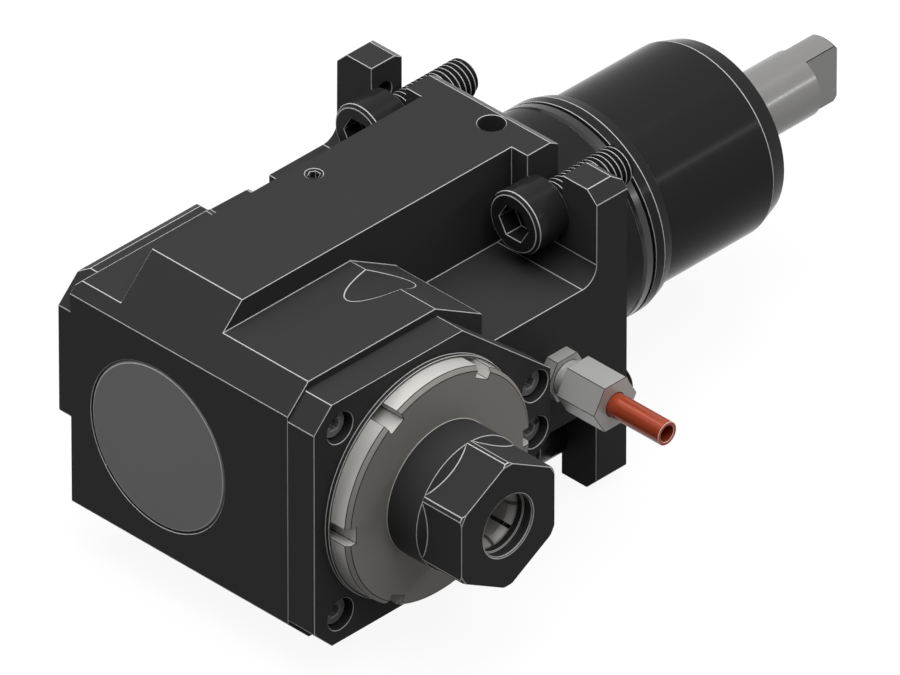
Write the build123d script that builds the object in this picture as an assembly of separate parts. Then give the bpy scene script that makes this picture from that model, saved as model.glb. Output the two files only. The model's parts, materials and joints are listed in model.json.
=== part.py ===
from build123d import *
import math
import os

# A right-angle live tool holder for a turret lathe, in millimetres.
# +Y is the shank and drive direction, +X the spindle output, +Z up.
# The origin is on the shank axis, on the flange's seating face.

# Fits
running = 0.05        # radial play of a turning or sliding fit
seated = 0.02         # radial play of a fixed fit
face_play = 0.3       # axial play between pieces that turn past each other

# Flange that seats on the turret
flange_half_width = 41.8
flange_half_height = 41.3
flange_thick = 10.0
flange_corner = 3.1
flange_rear_break = 2.6
flange_rear_drop = 1.5
slot_x = 25.0
slot_z = 30.0
slot_width = 11.3
boss_half_width = 19.6
cross_hole_y = -5.9
cross_hole_z = 33.0
cross_hole_radius = 2.6

# Block around the gears
block_front = -109.4
left_face = -28.2
right_face = 41.7
front_half_height = 28.6
left_half_height = 31.4
ridge_half_width = 14.5
ridge_half_height = 41.4
right_half_height = 35.25
ledge_edge_break = 1.2
wall_top_round = 1.0
right_ledge_end = -62.0
left_ledge_end = -67.0
right_wall = -47.0
left_wall = -51.8
left_step_end = -64.6
left_step_drop = 1.3
left_fall = 0.3
ledge_slope = 30.0
wing_half_height = 17.3
left_wing_start = -32.1
wing_fillet = 4.6
wall_foot_fillet = 3.0

# Groove that lets a hex key reach the screw behind the right ledge
groove_radius = 6.7
groove_start_y = -73.7
groove_tilt = 14.5

# Shank and pilot
pilot_radius = 27.5
pilot_end = 30.1
pilot_taper_start = 26.9
pilot_tip_radius = 26.6
shank_radius = 24.8
shank_taper_start = 65.2
shank_end = 70.4
shank_tip_radius = 23.2
o_ring_groove_start = 20.0
o_ring_groove_end = 24.1
o_ring_groove_depth = 3.35

# Bores on the shank axis
assembly_bore = 21.65
ring_thread_radius = 21.5
ring_thread_length = 6.0
input_bearing_outer = 21.0
input_bearing_bore = 10.0
input_bearing_width = 12.0
input_bearing_start = -51.0
shank_bearing_outer = 17.5
shank_bearing_bore = 8.5
shank_bearing_width = 10.0
shank_bearing_start = 46.0

# Bevel gears, equal pair at right angles
spindle_y = -75.5
teeth = 18
module = 2.0
pressure_angle = 20.0
gear_face = 8.0
dedendum_ratio = 1.25
backlash = 0.2
gear_hub_radius = 13.0
gear_front = 14.2
spindle_gear_back = 22.5
input_gear_back = 24.5

# Spindle
spindle_rear_end = -31.2
spindle_rear_radius = 8.5
spindle_shoulder_radius = 17.0
spindle_front_radius = 15.0
spindle_neck_start = 57.2
spindle_neck_radius = 13.6
nose_start = 59.7
nose_end = 68.5
nose_radius = 12.5
taper_mouth_radius = 10.65
taper_angle = 8.0
taper_length = 28.0
tool_clearance_radius = 6.6
tool_clearance_end = 32.0
key_width = 5.0
key_height = 5.0
key_depth = 3.0
key_length = 7.0

# Spindle bearings
front_bearing_start = 24.2
front_bearing_width = 9.0
front_bearing_outer = 23.5
rear_bearing_start = -29.2
rear_bearing_width = 7.0
rear_bearing_outer = 15.0
rear_lip_radius = 13.2

# Bearing flange on the output side
plate_thick = 8.5
plate_nose_height = 27.4
plate_corner_y = -103.7
plate_half_height = 33.2
plate_slope_y = -61.7
plate_tip_y = -33.4
plate_tip_height = 9.1
plate_screw_front_y = -101.0
plate_screw_front_z = 25.7
plate_screw_rear_y = -38.3
plate_screw_rear_z = 6.4
plate_sleeve_radius = 28.0
plate_sleeve_start = 22.4
plate_lip_radius = 20.5
plate_mouth_radius = 30.5
plate_mouth_depth = 3.5
plate_mouth_chamfer = 0.5
ring_nut_radius = 25.0
ring_nut_bore = 22.0
ring_nut_width = 4.0

# Slotted lock ring on the spindle
lock_ring_radius = 29.65
lock_ring_rear = 47.4
lock_ring_front = 56.6
lock_ring_hub_radius = 18.5
lock_ring_chamfer = 1.0
lock_notches = 6
lock_notch_width = 4.5
lock_notch_depth = 2.8

# Rear bearing cover on the far side
cover_thick = 5.15
cover_front_y = -108.1
cover_rear_y = -57.3
cover_half_height = 30.1
cover_corner = 7.7
cover_low_corner = 23.6
cover_recess_radius = 12.0
cover_recess_depth = 3.5
cover_bevel_width = 2.7
cover_bevel_drop = 1.45

# Small cap screws of both covers
small_screw_radius = 2.0
small_head_radius = 3.5
small_head_height = 4.0
small_socket_width = 3.0
small_socket_depth = 2.0
small_screw_length = 12.0
small_counterbore = 4.1
small_head_sink = 2.0
small_undercut = 0.1
small_thread_start = 1.0

# Clamp screws
clamp_radius = 5.0
clamp_thread_radius = 4.8
clamp_thread_start = 0.3
clamp_length = 25.0
clamp_head_radius = 8.0
clamp_head_height = 10.0
clamp_socket_width = 8.0
clamp_socket_depth = 5.0
clamp_head_chamfer = 0.8
clamp_tip_chamfer = 0.8

# Input shaft
input_rear_radius = 9.3
drive_radius = 8.4
drive_relief_radius = 8.0
drive_relief_start = 69.4
drive_relief_end = 70.6
drive_end = 97.8
tang_end = 108.0
tang_thick = 7.0
lock_nut_radius = 16.0
lock_nut_width = 6.0
lock_nut_slots = 4
lock_nut_slot_width = 5.0
lock_nut_slot_depth = 2.0
seal_start = 61.0
seal_width = 7.0
circlip_thick = 1.2

# Front cap on the assembly bore
cap_length = 8.0
cap_chamfer = 0.75
cap_groove_start = 3.0
cap_groove_width = 2.4
cap_groove_depth = 1.8

# Collet and its nut
collet_length = 31.5
collet_front = 73.4
collet_bore = 6.5
collet_mouth_radius = 7.4
collet_mouth_depth = 1.7
collet_slots = 8
collet_slot_width = 0.9
collet_groove_start = 69.0
collet_groove_end = 70.6
collet_groove_radius = 9.0
collet_cone_radius = 9.9
collet_cone_end_radius = 8.3
nut_rear = 60.0
nut_relief_start = 66.0
nut_hex_start = 66.9
nut_relief_end = 68.2
nut_relief_radius = 14.7
nut_front = 78.4
nut_radius = 17.0
nut_across_flats = 30.0
nut_mouth_radius = 7.8
nut_mouth_break = 0.35
nut_ring_start = 75.2
nut_ring_end = 76.0
nut_ring_radius = 8.2
nut_lip_radius = 9.4
nut_chamfer = 0.5

# Holes in the roof
lift_x = 4.5
lift_y = -6.4
lift_radius = 3.35
lift_depth = 14.0
plug_x = -9.75
plug_y = -49.4
plug_radius = 2.15
plug_length = 6.0
plug_socket_width = 2.5
plug_drill_radius = 1.6

# Coolant fitting on the side of the wing
coolant_y = -22.9
coolant_z = -1.2
coolant_port_x = 34.5
coolant_bore_radius = 2.0
fitting_stem_radius = 4.0
fitting_stem_length = 7.0
fitting_hex_width = 11.0
fitting_hex_length = 3.5
fitting_thread_radius = 5.0
fitting_neck_radius = 4.4
fitting_neck_length = 1.4
fitting_length = 12.4
union_start = 48.5
union_end = 60.6
union_across_flats = 12.0
union_wall_start = 57.6
tube_radius = 3.0
tube_bore = 2.1
tube_start = 50.3
tube_end = 77.1
cutting_ring_radius = 4.6
cutting_ring_end = 57.2

# Lines that the round pieces are turned on: local Z runs along the line
spindle_line = Plane(origin=(0, spindle_y, 0), x_dir=(0, 1, 0), z_dir=(1, 0, 0))
input_line = Plane(origin=(0, 0, 0), x_dir=(1, 0, 0), z_dir=(0, 1, 0))
coolant_line = Plane(origin=(0, coolant_y, coolant_z), x_dir=(0, 1, 0), z_dir=(1, 0, 0))

# Places that follow from the sizes above
plate_face = right_face + plate_thick
plate_screw_seat = plate_face - small_head_sink - small_head_height
front_bearing_end = front_bearing_start + 2 * front_bearing_width
input_bearing_end = input_bearing_start + 2 * input_bearing_width
apex_to_pitch = module * teeth / 2
lathe_over = 1.0


def turn(line, outline):
    """Turn a closed outline of (station, radius) points about a line."""
    points = [(radius, 0, station) for station, radius in outline]
    return line.location * revolve(make_face(Polyline(*points, close=True)), Axis.Z)


def rod(line, start, end, radius):
    """Plain cylinder on a line."""
    return line.location * Pos(0, 0, start) * Cylinder(
        radius, end - start, align=(Align.CENTER, Align.CENTER, Align.MIN))


def tube(line, start, end, outer, inner):
    """Plain ring or sleeve on a line."""
    return turn(line, [(start, inner), (end, inner), (end, outer), (start, outer)])


def hex_bar(line, start, end, across_flats, turned=0.0):
    """Hexagonal prism on a line."""
    outline = RegularPolygon(across_flats / 2, 6, major_radius=False, rotation=turned)
    return line.location * Pos(0, 0, start) * extrude(outline, end - start)


def side_box(x_low, x_high, y_low, y_high, z_low, z_high):
    """Box given by its faces."""
    size = (x_high - x_low, y_high - y_low, z_high - z_low)
    low = (Align.MIN, Align.MIN, Align.MIN)
    return Pos(x_low, y_low, z_low) * Box(*size, align=low)


def side_profile(points, x_low, x_high):
    """Outline of (y, z) points carried from one x to another."""
    flat = Plane(origin=(x_low, 0, 0), x_dir=(0, 1, 0), z_dir=(1, 0, 0))
    outline = make_face(Polyline(*[(y, z) for y, z in points], close=True))
    return flat.location * extrude(outline, x_high - x_low)


def mirrored(points):
    """The upper half of an outline with its lower half added."""
    return points + [(y, -z) for y, z in reversed(points)]


def socket_screw(line, seat, direction_length, radius, thread_start, thread_radius, head_radius,
                 head_height, socket_width, socket_depth, head_chamfer, tip_chamfer):
    """Cap screw whose head ends at the seat and whose shank runs on into its thread."""
    top = seat - head_height
    tip = seat + direction_length
    body = turn(line, [
        (top, 0), (top, head_radius - head_chamfer), (top + head_chamfer, head_radius),
        (seat, head_radius), (seat, radius), (thread_start, radius),
        (thread_start, thread_radius), (tip - tip_chamfer, thread_radius),
        (tip, thread_radius - tip_chamfer), (tip, 0)])
    return body - hex_bar(line, top - lathe_over, top + socket_depth, socket_width)


def involute(angle):
    return math.tan(angle) - angle


def tooth_space():
    """One gap between bevel teeth, on a flat across the axis, run to the apex."""
    pitch_radius = apex_to_pitch
    tilt = math.radians(45)
    virtual_pitch = pitch_radius / math.cos(tilt)
    virtual_base = virtual_pitch * math.cos(math.radians(pressure_angle))
    pitch_inv = involute(math.radians(pressure_angle))
    half_tooth = math.pi / (2 * teeth) * math.cos(tilt) - backlash / (4 * virtual_pitch)
    root = -dedendum_ratio * module
    tip = 1.35 * module
    steps = 5
    flank = []
    for step in range(steps):
        height = root + (tip - root) * step / (steps - 1)
        virtual = virtual_pitch + height
        local = math.acos(min(1.0, virtual_base / virtual))
        tooth_angle = (half_tooth + pitch_inv - involute(local)) / math.cos(tilt)
        gap_angle = math.pi / teeth - tooth_angle
        rise = height * math.cos(tilt)
        radius = pitch_radius * (pitch_radius + rise) / (pitch_radius - rise)
        flank.append((radius * math.cos(gap_angle), radius * math.sin(gap_angle)))
    mirror_flank = [(x, -y) for x, y in flank]
    outline = [Spline(*flank), Line(flank[-1], mirror_flank[-1]),
               Spline(*mirror_flank[::-1]), Line(mirror_flank[0], flank[0])]
    return outline


def bevel_gear_body(back, with_tooth_at_zero, bore_radius):
    """Bevel gear with its apex at the local origin, opening along local Z."""
    pitch = apex_to_pitch
    across = math.cos(math.radians(45))
    cone_length = pitch / across
    inner = (cone_length - gear_face) / cone_length
    tip_out = (pitch - module * across, pitch + module * across)
    tip_in = (tip_out[0] * inner, tip_out[1] * inner)
    back_fall = tip_out[1] - gear_hub_radius - 2.5
    back_edge = (tip_out[0] + back_fall, tip_out[1] - back_fall)
    front_fall = gear_front - tip_in[0]
    front_edge = (gear_front, tip_in[1] - front_fall)
    blank = turn(Plane.XY, [
        (gear_front, bore_radius), front_edge, tip_in, tip_out, back_edge,
        (back_edge[0], gear_hub_radius), (back, gear_hub_radius), (back, bore_radius)])
    gap_curves = tooth_space()
    far = 1.25
    near = 0.55
    far_gap = make_face([Pos(0, 0, pitch * far) * scale(curve, far) for curve in gap_curves])
    near_gap = make_face([Pos(0, 0, pitch * near) * scale(curve, near) for curve in gap_curves])
    gap = loft([near_gap, far_gap], ruled=True)
    turn_by = 360 / teeth
    start = turn_by / 2 if with_tooth_at_zero else 0
    gaps = [Rot(0, 0, start + turn_by * number) * gap for number in range(teeth)]
    return blank - gaps


def ball_bearing(line, start, width, bore, outer, balls):
    """Outer ring, inner ring and caged balls of one bearing."""
    middle = (bore + outer) / 2
    ball_radius = (outer - bore) * 0.3
    land = ball_radius * 0.42
    centre = start + width / 2
    groove = line.location * Pos(0, 0, centre) * Torus(middle, ball_radius + running)
    corner = 0.5
    outer_ring = turn(line, [
        (start, middle + land), (start, outer - corner), (start + corner, outer),
        (start + width - corner, outer), (start + width, outer - corner),
        (start + width, middle + land)]) - groove
    inner_ring = turn(line, [
        (start, bore + corner), (start, middle - land), (start + width, middle - land),
        (start + width, bore + corner), (start + width - corner, bore),
        (start + corner, bore)]) - groove
    cage_half = ball_radius * 1.25
    cage = tube(line, centre - cage_half, centre + cage_half,
                middle + land * 0.6, middle - land * 0.6)
    caged = []
    pockets = []
    for number in range(balls):
        ball_place = line.location * Rot(0, 0, 360 / balls * number) * Pos(middle, 0, centre)
        pockets.append(ball_place * Rot(0, 90, 0) * Cylinder(ball_radius + running, 4 * land))
        caged.append(ball_place * Sphere(ball_radius))
    return outer_ring, inner_ring, Compound([cage - pockets] + caged)


def front_slope(half_height):
    """Upper front of the block, where the 45 degree slope ends at a height."""
    return (block_front + half_height - front_half_height, half_height)


def make_housing():
    """Machined body: gear block, wings, flange, pilot and shank."""
    nose = (block_front, front_half_height)
    ridge = side_profile(mirrored([
        nose, front_slope(ridge_half_height), (0, ridge_half_height)]),
        -ridge_half_width, ridge_half_width)
    fall = math.tan(math.radians(ledge_slope))
    right_low = right_half_height - (right_wall - right_ledge_end) * fall
    right_block = side_profile(mirrored([
        nose, front_slope(right_half_height), (right_ledge_end, right_half_height),
        (right_wall, right_low)]), ridge_half_width, right_face)
    left_low = left_half_height - left_step_drop
    left_block = side_profile(mirrored([
        nose, front_slope(left_half_height), (left_ledge_end, left_half_height),
        (left_step_end, left_low), (left_wall, left_low - left_fall)]),
        left_face, -ridge_half_width)
    left_rims = left_block.edges().filter_by(Axis.Y).group_by(Axis.X)[0]
    left_rims = left_rims.group_by(SortBy.DISTANCE)[-1]
    left_block = chamfer(left_rims, ledge_edge_break)
    body = ridge + round_wall_top(right_block) + round_wall_top(left_block)
    body += side_box(left_face, right_face, left_wall, 0, -wing_half_height, wing_half_height)
    body += side_box(-flange_half_width, right_face, left_wing_start, 0,
                     -wing_half_height, wing_half_height)
    body += make_flange()
    for z_side in (1, -1):
        body += corner_round(-flange_thick, -1, z_side, wing_fillet,
                             -flange_half_width, right_face)
        body += corner_round(right_wall, 1, z_side, wall_foot_fillet,
                             ridge_half_width, right_face)
        body += corner_round(left_wall, 1, z_side, wall_foot_fillet,
                             left_face, -ridge_half_width)
    body += turn(input_line, [
        (-1, 0), (-1, pilot_radius), (pilot_taper_start, pilot_radius),
        (pilot_end, pilot_tip_radius), (pilot_end, shank_radius),
        (shank_taper_start, shank_radius), (shank_end, shank_tip_radius), (shank_end, 0)])
    body -= tube(input_line, o_ring_groove_start, o_ring_groove_end,
                 pilot_radius + lathe_over, pilot_radius - o_ring_groove_depth)
    body -= make_input_bores()
    body -= make_spindle_bores()
    for z_side in (1, -1):
        body -= make_key_groove(z_side)
    body -= make_small_holes()
    cross_line = Plane(origin=(0, cross_hole_y, cross_hole_z), x_dir=(0, 1, 0), z_dir=(-1, 0, 0))
    return body - rod(cross_line, slot_x, flange_half_width + 1, cross_hole_radius)


def make_flange():
    """Square seating flange with open slots for the clamp screws."""
    corner = flange_corner
    half_w = flange_half_width
    half_h = flange_half_height
    face = Plane(origin=(0, 0, 0), x_dir=(1, 0, 0), z_dir=(0, -1, 0))
    plate = face.location * extrude(Rectangle(2 * half_w, 2 * half_h), flange_thick)
    plate = chamfer(plate.edges().filter_by(Axis.Y), corner)
    for x_side in (1, -1):
        for z_side in (1, -1):
            low = slot_z * z_side
            high = (half_h + 1) * z_side
            middle = slot_x * x_side
            plate -= side_box(middle - slot_width / 2, middle + slot_width / 2,
                              -flange_thick - 1, 1, min(low, high), max(low, high))
            hole = Plane(origin=(middle, 0, low), x_dir=(1, 0, 0), z_dir=(0, 1, 0))
            plate -= rod(hole, -flange_thick - 1, 1, slot_width / 2)
    plate += side_box(-boss_half_width, boss_half_width, -flange_thick, 0,
                      -ridge_half_height, ridge_half_height)
    wedge = [(-flange_rear_break, ridge_half_height + 0.01), (1, ridge_half_height + 0.01),
             (1, ridge_half_height - flange_rear_drop), (0, ridge_half_height - flange_rear_drop)]
    for z_side in (1, -1):
        plate -= side_profile([(y, z * z_side) for y, z in wedge],
                              -flange_half_width - 1, flange_half_width + 1)
    return plate


def round_wall_top(block):
    """Small round along the top of the block's rear wall."""
    rear = block.faces().sort_by(Axis.Y)[-1]
    return fillet(rear.edges().filter_by(Axis.X), wall_top_round)


def corner_round(y_wall, y_side, z_side, size, x_low, x_high):
    """Concave round where a wall across Y stands on a wing's flat face."""
    sunk = 0.5
    y_far = y_wall + y_side * size
    z_face = z_side * wing_half_height
    z_far = z_face + z_side * size
    y_low, y_high = sorted((y_wall - y_side * sunk, y_far))
    z_low, z_high = sorted((z_face - z_side * sunk, z_far))
    block = side_box(x_low, x_high, y_low, y_high, z_low, z_high)
    centre = Plane(origin=(0, y_far, z_far), x_dir=(0, 1, 0), z_dir=(1, 0, 0))
    return block - rod(centre, x_low - lathe_over, x_high + lathe_over, size)


def make_input_bores():
    """Bores on the shank axis, from the front cap to the shank's end."""
    thread_start = input_bearing_start - ring_thread_length
    return turn(input_line, [
        (block_front - 1, 0), (block_front - 1, assembly_bore), (thread_start, assembly_bore),
        (thread_start, ring_thread_radius), (input_bearing_start, ring_thread_radius),
        (input_bearing_start, input_bearing_outer), (input_bearing_end, input_bearing_outer),
        (input_bearing_end, shank_bearing_outer), (shank_end + 1, shank_bearing_outer),
        (shank_end + 1, 0)]) + tube(
            input_line, seal_start + seal_width, seal_start + seal_width + circlip_thick,
            shank_bearing_outer + 1.0, shank_bearing_outer - 1.0)


def make_spindle_bores():
    """Bores on the spindle axis, from the rear cover to the bearing flange."""
    rear_seat = rear_bearing_start + rear_bearing_width
    return turn(spindle_line, [
        (left_face - 1, 0), (left_face - 1, rear_bearing_outer), (rear_seat, rear_bearing_outer),
        (rear_seat, rear_lip_radius), (-apex_to_pitch / 2, rear_lip_radius),
        (-apex_to_pitch / 2, assembly_bore), (plate_sleeve_start, assembly_bore),
        (plate_sleeve_start, plate_sleeve_radius), (right_face + 1, plate_sleeve_radius),
        (right_face + 1, 0)])


def make_key_groove(z_side):
    """Tilted round groove in the right ledge, for the hex key of a clamp screw."""
    tilt = math.radians(groove_tilt)
    low_point = (slot_x, groove_start_y, right_half_height)
    along = (0, math.cos(tilt), -math.sin(tilt))
    above = (0, math.sin(tilt), math.cos(tilt))
    start = tuple(p + groove_radius * a for p, a in zip(low_point, above))
    line = Plane(origin=start, x_dir=(1, 0, 0), z_dir=along)
    cutter = rod(line, -20, 40, groove_radius)
    return cutter if z_side > 0 else mirror(cutter, Plane.XY)


def small_screw_places():
    """The (y, z) places of the screws in the bearing flange."""
    return [(plate_screw_front_y, plate_screw_front_z), (plate_screw_front_y, -plate_screw_front_z),
            (plate_screw_rear_y, plate_screw_rear_z), (plate_screw_rear_y, -plate_screw_rear_z)]


def cover_screw_places():
    """The (y, z) places of the screws in the rear cover."""
    inset = cover_corner
    top = cover_half_height - inset
    front = cover_front_y + inset + 2
    rear = cover_rear_y - inset
    low_front = cover_front_y + cover_low_corner + 2
    return [(front, top - 3), (rear, top), (rear, -top), (low_front, -top)]


def make_small_holes():
    """Threads for the cover screws, the roof holes and the coolant way."""
    holes = []
    for y, z in small_screw_places():
        line = Plane(origin=(0, y, z), x_dir=(0, 1, 0), z_dir=(1, 0, 0))
        holes.append(rod(line, plate_screw_seat - small_screw_length - 2, right_face + 1,
                         small_screw_radius + seated))
    for y, z in cover_screw_places():
        line = Plane(origin=(0, y, z), x_dir=(0, 1, 0), z_dir=(1, 0, 0))
        holes.append(rod(line, left_face - 1, left_face + small_screw_length - 1,
                         small_screw_radius + seated))
    holes.append(Pos(lift_x, lift_y, ridge_half_height - lift_depth)
                 * Cylinder(lift_radius, lift_depth + 1, align=(
                     Align.CENTER, Align.CENTER, Align.MIN)))
    holes.append(Pos(plug_x, plug_y, ridge_half_height - plug_length)
                 * Cylinder(plug_radius + seated, plug_length + 1, align=(
                     Align.CENTER, Align.CENTER, Align.MIN)))
    holes.append(Pos(plug_x, plug_y, 0)
                 * Cylinder(plug_drill_radius, ridge_half_height - 1, align=(
                     Align.CENTER, Align.CENTER, Align.MIN)))
    holes.append(rod(coolant_line, right_face - fitting_stem_length - 0.5, right_face + 1,
                     fitting_stem_radius + seated))
    holes.append(rod(coolant_line, coolant_port_x - coolant_bore_radius, right_face,
                     coolant_bore_radius))
    port = Plane(origin=(coolant_port_x, 0, coolant_z), x_dir=(1, 0, 0), z_dir=(0, 1, 0))
    holes.append(rod(port, coolant_y, 1, coolant_bore_radius))
    holes.append(rod(port, -1.6, 1, 2 * coolant_bore_radius))
    return holes


def make_front_cap():
    """Plug in the bore that the input shaft goes in by."""
    radius = assembly_bore - seated
    start = block_front
    groove = start + cap_groove_start
    floor = radius - cap_groove_depth
    return turn(input_line, [
        (start, 0), (start, radius - cap_chamfer), (start + cap_chamfer, radius),
        (groove, radius), (groove, floor), (groove + cap_groove_width, floor),
        (groove + cap_groove_width, radius), (start + cap_length, radius),
        (start + cap_length, 0)])


def ring_seal(line, start, end, outer, inner):
    """Round-cornered seal ring that fills a groove."""
    corner = min(end - start, outer - inner) * 0.3
    return turn(line, [
        (start, inner + corner), (start, outer - corner), (start + corner, outer),
        (end - corner, outer), (end, outer - corner), (end, inner + corner),
        (end - corner, inner), (start + corner, inner)])


def make_bearing_flange():
    """Plate and sleeve that carry the spindle's front bearings."""
    outline = mirrored([
        (block_front, plate_nose_height), (plate_corner_y, plate_half_height),
        (plate_slope_y, plate_half_height), (plate_tip_y, plate_tip_height)])
    plate = side_profile(outline, right_face, plate_face)
    plate += rod(spindle_line, plate_sleeve_start, right_face, plate_sleeve_radius - seated)
    mouth = plate_face - plate_mouth_depth
    bevel = plate_mouth_chamfer
    nut_end = front_bearing_end + ring_nut_width + seated
    plate -= turn(spindle_line, [
        (plate_sleeve_start - 1, 0), (plate_sleeve_start - 1, plate_lip_radius),
        (front_bearing_start, plate_lip_radius), (front_bearing_start, front_bearing_outer + seated),
        (front_bearing_end, front_bearing_outer + seated), (front_bearing_end, ring_nut_radius + seated),
        (nut_end, ring_nut_radius + seated), (nut_end, plate_mouth_radius),
        (plate_face - bevel, plate_mouth_radius), (plate_face, plate_mouth_radius + bevel),
        (plate_face + 1, plate_mouth_radius + bevel), (plate_face + 1, 0)])
    for y, z in small_screw_places():
        line = Plane(origin=(0, y, z), x_dir=(0, 1, 0), z_dir=(1, 0, 0))
        plate -= rod(line, plate_screw_seat, plate_face + 1, small_counterbore)
        plate -= rod(line, right_face - 1, plate_face, small_screw_radius + 0.25)
    return plate


def screws_from(places, seat, towards):
    """Small cap screws at (y, z) places, their heads on the seat."""
    screws = []
    for y, z in places:
        x_dir = (0, 1, 0)
        line = Plane(origin=(seat, y, z), x_dir=x_dir, z_dir=(towards, 0, 0))
        screws.append(socket_screw(
            line, 0, small_screw_length, small_screw_radius - small_undercut, small_thread_start,
            small_screw_radius, small_head_radius, small_head_height, small_socket_width,
            small_socket_depth, 0.3, 0.4))
    return Compound(screws)


def make_rear_cover():
    """Plate over the spindle's rear bearing."""
    outline = [
        (cover_front_y, cover_half_height - cover_corner),
        (cover_front_y + cover_corner, cover_half_height),
        (cover_rear_y - cover_corner, cover_half_height),
        (cover_rear_y, cover_half_height - cover_corner),
        (cover_rear_y, cover_corner - cover_half_height),
        (cover_rear_y - cover_corner, -cover_half_height),
        (cover_front_y + cover_low_corner, -cover_half_height),
        (cover_front_y, cover_low_corner - cover_half_height)]
    outer_face = left_face - cover_thick
    plate = side_profile(outline, outer_face, left_face)
    wedge = make_face(Polyline(
        (outer_face + cover_bevel_width, cover_half_height),
        (outer_face, cover_half_height - cover_bevel_drop),
        (outer_face, cover_half_height), close=True))
    bevel = Plane.XZ.location * extrude(wedge, -cover_front_y)
    plate -= [bevel, mirror(bevel, Plane.XY)]
    bearing_seat = rear_bearing_start
    plate -= rod(spindle_line, bearing_seat, left_face + 1, rear_bearing_outer + seated)
    plate -= rod(spindle_line, left_face - cover_recess_depth, left_face, cover_recess_radius)
    for y, z in cover_screw_places():
        line = Plane(origin=(0, y, z), x_dir=(0, 1, 0), z_dir=(1, 0, 0))
        plate -= rod(line, outer_face - 1, outer_face + small_head_height, small_counterbore)
        plate -= rod(line, outer_face, left_face + 1, small_screw_radius + 0.25)
    return plate


def make_spindle():
    """Output spindle with its collet taper."""
    end = spindle_rear_end
    groove = rear_bearing_start
    body = turn(spindle_line, [
        (end, 0), (end, spindle_rear_radius - 0.6), (end + 0.6, spindle_rear_radius),
        (groove - circlip_thick, spindle_rear_radius), (groove - circlip_thick, spindle_rear_radius - 0.6),
        (groove, spindle_rear_radius - 0.6), (groove, spindle_rear_radius),
        (spindle_gear_back, spindle_rear_radius), (spindle_gear_back, spindle_shoulder_radius),
        (front_bearing_start, spindle_shoulder_radius), (front_bearing_start, spindle_front_radius),
        (spindle_neck_start, spindle_front_radius), (spindle_neck_start, spindle_neck_radius),
        (nose_start, spindle_neck_radius), (nose_start, nose_radius),
        (nose_end - 0.6, nose_radius), (nose_end, nose_radius - 0.6), (nose_end, 0)])
    fall = math.tan(math.radians(taper_angle))
    body -= turn(spindle_line, [
        (nose_end + 1, 0), (nose_end + 1, taper_mouth_radius + fall),
        (nose_end - taper_length, taper_mouth_radius - taper_length * fall),
        (nose_end - taper_length, tool_clearance_radius),
        (tool_clearance_end, tool_clearance_radius),
        (tool_clearance_end - tool_clearance_radius / 2, 0)])
    return body - key_block(seated, seated)


def key_block(side_play, end_play):
    """The key's own volume, with play added for its seats."""
    end = spindle_gear_back - 0.5
    start = end - key_length
    low = spindle_rear_radius - key_depth
    half = key_width / 2 + side_play
    return side_box(start - end_play, end + end_play, spindle_y - half, spindle_y + half,
                    low - end_play, low + key_height)


def make_spindle_gear():
    """Bevel gear keyed on the spindle."""
    gear = spindle_line.location * bevel_gear_body(
        spindle_gear_back, True, spindle_rear_radius + seated)
    keyway = side_box(gear_front - 1, spindle_gear_back + 1,
                      spindle_y - key_width / 2 - seated, spindle_y + key_width / 2 + seated,
                      0, spindle_rear_radius - key_depth + key_height + seated)
    return gear - keyway


def make_input_shaft():
    """Drive shaft with its tang behind and its bevel pinion in front."""
    pinion = Pos(0, spindle_y, 0) * input_line.location * bevel_gear_body(
        input_gear_back, False, 0)
    back = spindle_y + input_gear_back
    seat = shank_bearing_start
    end = seat + shank_bearing_width
    shaft = turn(input_line, [
        (back, 0), (back, input_bearing_bore), (input_bearing_end + lock_nut_width, input_bearing_bore),
        (input_bearing_end + lock_nut_width, input_rear_radius), (seat, input_rear_radius),
        (seat, shank_bearing_bore), (end, shank_bearing_bore), (end, shank_bearing_bore - 0.6),
        (end + circlip_thick, shank_bearing_bore - 0.6), (end + circlip_thick, drive_radius),
        (drive_relief_start, drive_radius), (drive_relief_start, drive_relief_radius),
        (drive_relief_end, drive_relief_radius), (drive_relief_end, drive_radius),
        (tang_end - 1.0, drive_radius), (tang_end, drive_radius - 1.0), (tang_end, 0)])
    for x_side in (1, -1):
        low = tang_thick / 2
        high = drive_radius + 1
        shaft -= side_box(min(low * x_side, high * x_side), max(low * x_side, high * x_side),
                          drive_end, tang_end + 1, -drive_radius - 1, drive_radius + 1)
    return pinion + shaft


def make_lock_ring():
    """Slotted ring nut that clamps the spindle's bearings."""
    hub_end = lock_ring_rear
    bevel = lock_ring_chamfer
    ring = turn(spindle_line, [
        (front_bearing_end, spindle_front_radius + seated), (front_bearing_end, lock_ring_hub_radius),
        (hub_end, lock_ring_hub_radius), (hub_end, lock_ring_radius - bevel / 2),
        (hub_end + bevel / 2, lock_ring_radius), (lock_ring_front - bevel, lock_ring_radius),
        (lock_ring_front, lock_ring_radius - bevel), (lock_ring_front, spindle_front_radius + seated)])
    deep = lock_ring_radius - lock_notch_depth
    for number in range(lock_notches):
        notch = Pos(deep, 0, hub_end - 1) * Box(
            lock_notch_depth + 2, lock_notch_width, lock_ring_front - hub_end + 2,
            align=(Align.MIN, Align.CENTER, Align.MIN))
        ring -= spindle_line.location * Rot(0, 0, 360 / lock_notches * number) * notch
    return ring


def make_lock_nut():
    """Round slotted nut that clamps the input bearings on the shaft."""
    start = input_bearing_end
    nut = tube(input_line, start, start + lock_nut_width, lock_nut_radius,
               input_bearing_bore + seated)
    for number in range(lock_nut_slots):
        slot = Pos(lock_nut_radius - lock_nut_slot_depth, 0, start - 1) * Box(
            lock_nut_slot_depth + 1, lock_nut_slot_width, lock_nut_width + 2,
            align=(Align.MIN, Align.CENTER, Align.MIN))
        nut -= input_line.location * Rot(0, 0, 360 / lock_nut_slots * number) * slot
    return nut


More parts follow.
